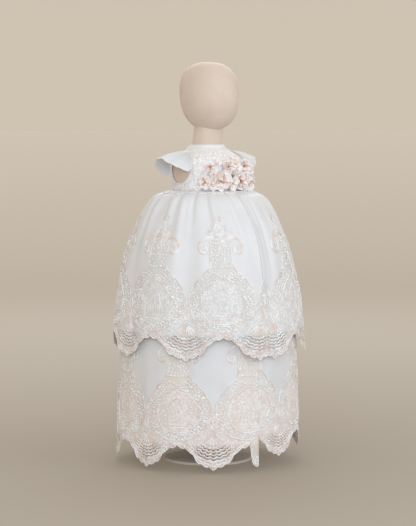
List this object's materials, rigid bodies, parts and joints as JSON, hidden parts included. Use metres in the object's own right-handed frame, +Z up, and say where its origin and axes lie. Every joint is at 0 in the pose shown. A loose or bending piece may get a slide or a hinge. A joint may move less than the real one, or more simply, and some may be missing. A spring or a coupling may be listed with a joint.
{
  "type": "christening gown on a dress form",
  "caption": "Long two-tier satin christening gown with beaded scalloped lace borders, flutter cap sleeves and a blush flower corsage, worn by a limbless child dress form on a round stand.",
  "frame": {"origin": "on the floor under the middle of the gown's overall box", "axes": "+Z up along the dress form's pole, -Y out of the gown's front, -X towards the wearer's right"},
  "size_m": [0.436, 0.4406, 0.9134],
  "materials": {
    "satin": "soft sheen",
    "lace": "matt, corded and beaded",
    "organza": "soft sheen",
    "binding": "soft sheen",
    "petal": "matt",
    "form": "smooth, matt",
    "stand": "satin paint",
    "pearl": "pearl"
  },
  "bodies": {
    "root": {"form_head": "form", "form_torso": "form", "form_pole": "stand", "form_base": "stand", "upper_skirt_right": "satin", "upper_lace_right": "lace", "upper_skirt_left": "satin", "upper_lace_left": "lace", "lower_skirt_right": "satin", "lower_lace_right": "lace", "lower_skirt_left": "satin", "lower_lace_left": "lace", "bodice_front": "lace", "bodice_back_right": "lace", "bodice_back_left": "lace", "neck_binding": "binding", "armhole_binding_right": "binding", "sleeve_right": "organza", "armhole_binding_left": "binding", "sleeve_left": "organza", "flower_1": "petal", "flower_2": "petal", "flower_3": "petal", "flower_4": "petal", "flower_5": "petal", "flower_6": "petal", "flower_7": "petal", "back_button_1": "pearl", "back_button_2": "pearl", "back_button_3": "pearl", "back_button_4": "pearl"}
  },
  "joints": []
}
